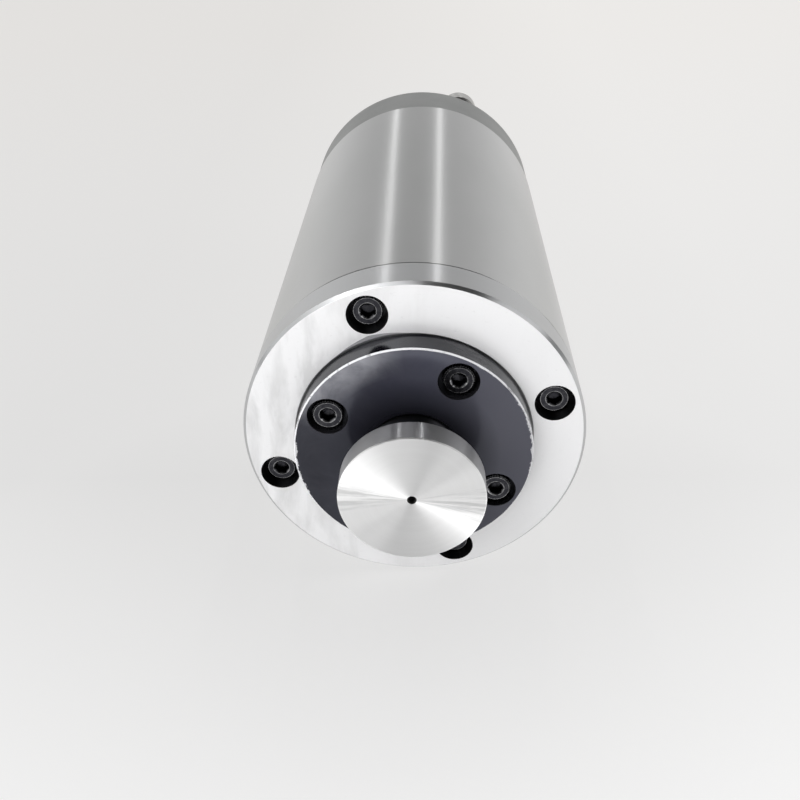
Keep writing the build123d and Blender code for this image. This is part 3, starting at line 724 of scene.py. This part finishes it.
# --- meshes built from rings --------------------------------------------------------
def turned_mesh(name, rings, sides, material, hollow=False):
    """A skin through rings of points; each ring is (height, radius), or (height, radius(angle)).

    A hollow one joins its last ring to its first; any other has a face over each of the two.
    """
    shape = bmesh.new()
    loops = []
    for height, radius in rings:
        loop = []
        for step in range(sides):
            angle = tau * step / sides
            reach = radius(angle) if callable(radius) else radius
            loop.append(shape.verts.new((reach * cos(angle), reach * sin(angle), height)))
        loops.append(loop)
    pairs = list(zip(loops, loops[1:]))
    if hollow:
        pairs.append((loops[-1], loops[0]))
    for below, above in pairs:
        for step in range(sides):
            after = (step + 1) % sides
            shape.faces.new((below[step], below[after], above[after], above[step]))
    if not hollow:
        shape.faces.new(list(reversed(loops[0])))
        shape.faces.new(loops[-1])
    bmesh.ops.recalc_face_normals(shape, faces=shape.faces)
    mesh = bpy.data.meshes.new(name)
    shape.to_mesh(mesh)
    shape.free()
    mesh.materials.append(material)
    mesh.shade_smooth()
    mesh.set_sharp_from_angle(angle=sharp_angle)
    return mesh


def place(name, mesh, body, slot, *stands_for):
    """Links a mesh as a piece that rides on a body and stands for CAD nodes."""
    piece = bpy.data.objects.new(name, mesh)
    bpy.context.scene.collection.objects.link(piece)
    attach(piece, body)
    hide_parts(*stands_for)


def hexagon(width, share=1.0):
    """Radius of a hexagon of a share of that width across its flats, by angle."""
    sector = pi / 3
    return lambda angle: share * (width / 2 / cos(angle % sector - sector / 2))


def knurled(radius):
    """Radius of a round head with straight knurling, by angle."""
    return lambda angle: radius - knurl_depth * (0.5 - 0.5 * cos(knurl_teeth * angle))


def screw_mesh(length):
    """One socket head cap screw; its head's top is at height 0 and it points to -Z."""
    under_head = -head_height
    chamfer_radius = head_radius - head_chamfer
    thread = []
    for turn in range(int(length / screw_pitch)):
        crest = under_head - (turn + 0.5) * screw_pitch
        thread += [(crest, screw_radius), (crest - screw_pitch / 2, screw_radius - thread_depth)]
    rings = [
        (-socket_depth - socket_point_depth, socket_point_radius),
        (-socket_depth, hexagon(socket_width, socket_floor_share)),
        (-socket_depth, hexagon(socket_width)),
        (-socket_mouth_depth, hexagon(socket_width)),
        (0.0, socket_mouth_radius),
        (0.0, socket_mouth_radius + edge_band),
        (0.0, chamfer_radius - edge_band),
        (0.0, chamfer_radius),
        (-head_chamfer, head_radius - knurl_depth),
        (-head_chamfer - knurl_start, knurled(head_radius)),
        (under_head + knurl_land, knurled(head_radius)),
        (under_head + knurl_land / 2, head_radius - knurl_depth),
        (under_head, head_radius - 2 * knurl_depth),
        (under_head, screw_radius),
        *thread,
        (under_head - length, screw_radius - thread_depth),
    ]
    return turned_mesh("screw", rings, screw_sides, finishes["screw_black"])


def mark_glint_wear(mesh, screws):
    """Marks the edges of every head, for the finish to lighten them, partly as scuffing and partly as
    a painted highlight.
    """
    rings = len(mesh.vertices) // screws // screw_sides
    glint_wear = [glint_wear_rings.get(ring, 0.0) for ring in range(rings) for _ in range(screw_sides)]
    layer = mesh.attributes.new("glint_wear", "FLOAT", "POINT")
    layer.data.foreach_set("value", glint_wear * screws)


def detailed_screws(node, body, points_to_rear):
    """Knurled screws in place of a CAD node's plain ones, joined into one piece."""
    joined = bmesh.new()
    screws = islands(node)
    turn = Matrix.Rotation(pi / 2 if points_to_rear else -pi / 2, 4, "X")
    for number, (low, high) in enumerate(screws):
        top = low.y if points_to_rear else high.y
        middle = (low + high) / 2
        clocked = Matrix.Rotation(clock_step * number, 4, "Z")
        mesh = screw_mesh(high.y - low.y - head_height)
        mesh.transform(Matrix.Translation((middle.x, top, middle.z)) @ turn @ clocked)
        joined.from_mesh(mesh)
        bpy.data.meshes.remove(mesh)
    mesh = bpy.data.meshes.new(f"{node}_detailed")
    joined.to_mesh(mesh)
    joined.free()
    mesh.materials.append(finishes["screw_black"])
    mark_glint_wear(mesh, len(screws))
    mesh.set_sharp_from_angle(angle=sharp_angle)
    place(f"{node}_detailed", mesh, body, "screw_black", node)


def helix_radius(height):
    """Radius of the connector's thread at that height, by angle."""
    def radius(angle):
        turn = (height / connector_pitch - angle / tau) % 1.0
        return connector_radius - connector_thread_depth * abs(2.0 * turn - 1.0)
    return radius


def threaded_connector():
    """The connector's shell with its flange and a real M16 x 1 thread."""
    back = shell_high.y
    root_radius = connector_radius - connector_thread_depth
    flange_end = cap_end + connector_flange
    thread_start = flange_end + connector_relief
    turns = (back - connector_thread_end - thread_start) / connector_pitch
    heights = [
        thread_start + step * connector_pitch / rings_per_turn
        for step in range(1, int(turns * rings_per_turn))
    ]
    rings = [
        (shell_low.y, connector_bore),
        (shell_low.y, connector_radius),
        (cap_end, connector_radius),
        (cap_end, connector_flange_radius - flange_front_bevel),
        (cap_end + flange_front_bevel, connector_flange_radius),
        (flange_end - connector_bevel, connector_flange_radius),
        (flange_end, connector_flange_radius - connector_bevel),
        (flange_end, root_radius),
        (thread_start, root_radius),
        *((height, helix_radius(height)) for height in heights),
        (back - connector_plain_end, root_radius),
        (back, root_radius - connector_bevel),
        (back, connector_bore + connector_bevel),
        (back - connector_bevel, connector_bore),
    ]
    name = "connector_shell_threaded"
    mesh = turned_mesh(name, rings, connector_sides, finishes["nickel_plate"], hollow=True)
    mesh.transform(Matrix.Rotation(-pi / 2, 4, "X"))
    place(name, mesh, "housing", "nickel_plate", "connector_shell")


# --- stage --------------------------------------------------------------------------
def make_floor():
    """A flat sheet under the barrel, which isn't part of the object."""
    shape = bmesh.new()
    corners = ((-1, -1), (1, -1), (1, 1), (-1, 1))
    points = [(x * floor_reach, y * floor_reach, floor_height) for x, y in corners]
    shape.faces.new([shape.verts.new(point) for point in points])
    mesh = bpy.data.meshes.new("floor")
    shape.to_mesh(mesh)
    shape.free()
    mesh.materials.append(pale_floor())
    floor = bpy.data.objects.new("floor", mesh)
    bpy.context.scene.collection.objects.link(floor)


def make_camera():
    """The camera, where the photo's fit puts it."""
    data = bpy.data.cameras.new("camera")
    data.lens = camera_lens
    data.sensor_width = sensor_width
    data.clip_start = clip_near
    data.clip_end = clip_far
    camera = bpy.data.objects.new("camera", data)
    back = camera_right.cross(camera_up)
    turn = Matrix((camera_right, camera_up, back)).transposed().to_4x4()
    camera.matrix_world = Matrix.Translation(camera_place) @ turn
    bpy.context.scene.collection.objects.link(camera)
    bpy.context.scene.camera = camera


def make_room():
    """A plain backdrop for the camera, and a shaped room for light and reflections.

    The shaped room is pale near the horizon, grey higher up and dark in front.
    """
    world = bpy.data.worlds.new("studio")
    bpy.context.scene.world = world
    world.use_nodes = True
    room = Wiring(world.node_tree)
    _, along, up = room.split(room.add("TexCoord").outputs["Generated"])
    ramp = room.add("ValToRGB")
    room.feed(ramp.inputs["Fac"], up)
    while len(ramp.color_ramp.elements) < len(room_greys):
        ramp.color_ramp.elements.new(1.0)
    for element, (height, grey) in zip(ramp.color_ramp.elements, room_greys):
        element.position = height
        element.color = (grey, grey, grey, 1)
    shaped = room.nodes["Background"]
    room.feed(shaped.inputs["Color"], ramp.outputs["Color"])
    room.feed(shaped.inputs["Strength"], room.spread(along, dark_from, bright_from, dark_share, 1.0))
    plain = room.add("Background")
    room.feed(plain.inputs["Color"], (backdrop_grey, backdrop_grey, backdrop_grey, 1))
    seen = room.add("MixShader")
    from_camera = room.add("LightPath").outputs["Is Camera Ray"]
    for socket, source in zip(seen.inputs, (from_camera, shaped.outputs[0], plain.outputs[0])):
        room.feed(socket, source)
    room.feed(room.nodes["World Output"].inputs["Surface"], seen.outputs[0])


def area_lamp(name, width, height, power):
    """A rectangular lamp that the camera doesn't see."""
    data = bpy.data.lights.new(name, "AREA")
    data.shape = "RECTANGLE"
    data.size = width
    data.size_y = height
    data.energy = power
    lamp = bpy.data.objects.new(name, data)
    lamp.visible_camera = False
    bpy.context.scene.collection.objects.link(lamp)
    return lamp


def softbox(name, middle, size, power, towards=(0, 0, 0)):
    """A broad lamp that faces a point."""
    lamp = area_lamp(name, *size, power)
    lamp.location = middle
    lamp.rotation_mode = "QUATERNION"
    lamp.rotation_quaternion = (Vector(towards) - Vector(middle)).to_track_quat("-Z", "Y")
    return lamp


def strip(name, low_end, high_end, power):
    """A tube lamp between two points, which shows on the barrel as one line."""
    middle = (low_end + high_end) / 2
    along = (high_end - low_end).normalized()
    across = along.cross(middle.normalized()).normalized()
    facing = across.cross(along)
    turn = Matrix((across, along, facing)).transposed().to_4x4()
    lamp = area_lamp(name, tube_width, (high_end - low_end).length, power)
    lamp.matrix_world = Matrix.Translation(middle) @ turn


def light_only(lamp, lit):
    """Keeps a lamp's light to some CAD nodes."""
    chosen = bpy.data.collections.new(f"lit_by_{lamp.name}")
    for node in lit:
        chosen.objects.link(nodes[node])
    lamp.light_linking.receiver_collection = chosen


def floor_panel(name, middle, size, brightness, lit):
    """A sheet of light on the floor that only some nodes are lit by."""
    middle = Vector((*middle, floor_height + panel_lift))
    above = middle + Vector((0, 0, 1))
    width, depth = size
    power = brightness * pi * width * depth
    light_only(softbox(f"panel_{name}", middle, size, power, towards=above), lit)


def make_lights():
    """Window, doorway and tubes for the whole part, and lamps for the front alone."""
    for lamp in room_lamps:
        softbox(*lamp)
    for side, start, step in tube_rows:
        for span, first, last, power in tube_spans:
            strip(f"{span}_tube_{side}", start + first * step, start + last * step, power)
    light_only(softbox(*cover_fill), lit_by_cover_fill)
    for panel in floor_panels:
        floor_panel(*panel)


def main():
    """Dresses the CAD nodes, replaces the plain screws and connector, and sets the stage."""
    bpy.context.scene.view_settings.view_transform = "Standard"
    dress_cad_nodes()
    detailed_screws("cover_screws", "housing", True)
    detailed_screws("gland_screws", "housing", True)
    detailed_screws("rear_cap_screws", "housing", False)
    threaded_connector()
    make_floor()
    make_camera()
    make_room()
    make_lights()


main()
